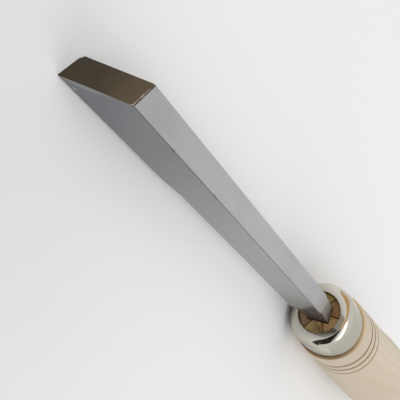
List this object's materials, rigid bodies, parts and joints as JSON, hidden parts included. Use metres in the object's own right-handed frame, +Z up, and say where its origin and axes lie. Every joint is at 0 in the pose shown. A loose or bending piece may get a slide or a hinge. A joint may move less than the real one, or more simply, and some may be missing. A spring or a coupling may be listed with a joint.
{
  "type": "turning scraper",
  "caption": "Turning scraper: a rectangular steel blade with a skewed, relieved end, its tang wedged into a turned hardwood handle behind a plain metal ferrule.",
  "frame": {"origin": "on the surface that the tool lies on, under the middle of its bounding box", "axes": "+X towards the blade's tip, +Y out of the broad rake face, +Z up out of the blade's upper narrow edge; the tool axis dips about 2.9 degrees towards the tip, as it does when nose and grip both touch the bench"},
  "size_m": [0.3444, 0.0372, 0.0387],
  "materials": {
    "blade_steel": "satin ground steel, browned on the ground end",
    "ferrule_nickel": "soft nickel plate",
    "handle_wood": "pale sanded hardwood",
    "wedge_wood": "dark brown end grain"
  },
  "bodies": {
    "root": {"scraper_blade": "blade_steel", "ferrule": "ferrule_nickel", "handle": "handle_wood", "tang_wedge_1": "wedge_wood", "tang_wedge_2": "wedge_wood", "tang_wedge_3": "wedge_wood", "tang_wedge_4": "wedge_wood", "tang_wedge_5": "wedge_wood", "tang_wedge_6": "wedge_wood"}
  },
  "joints": []
}
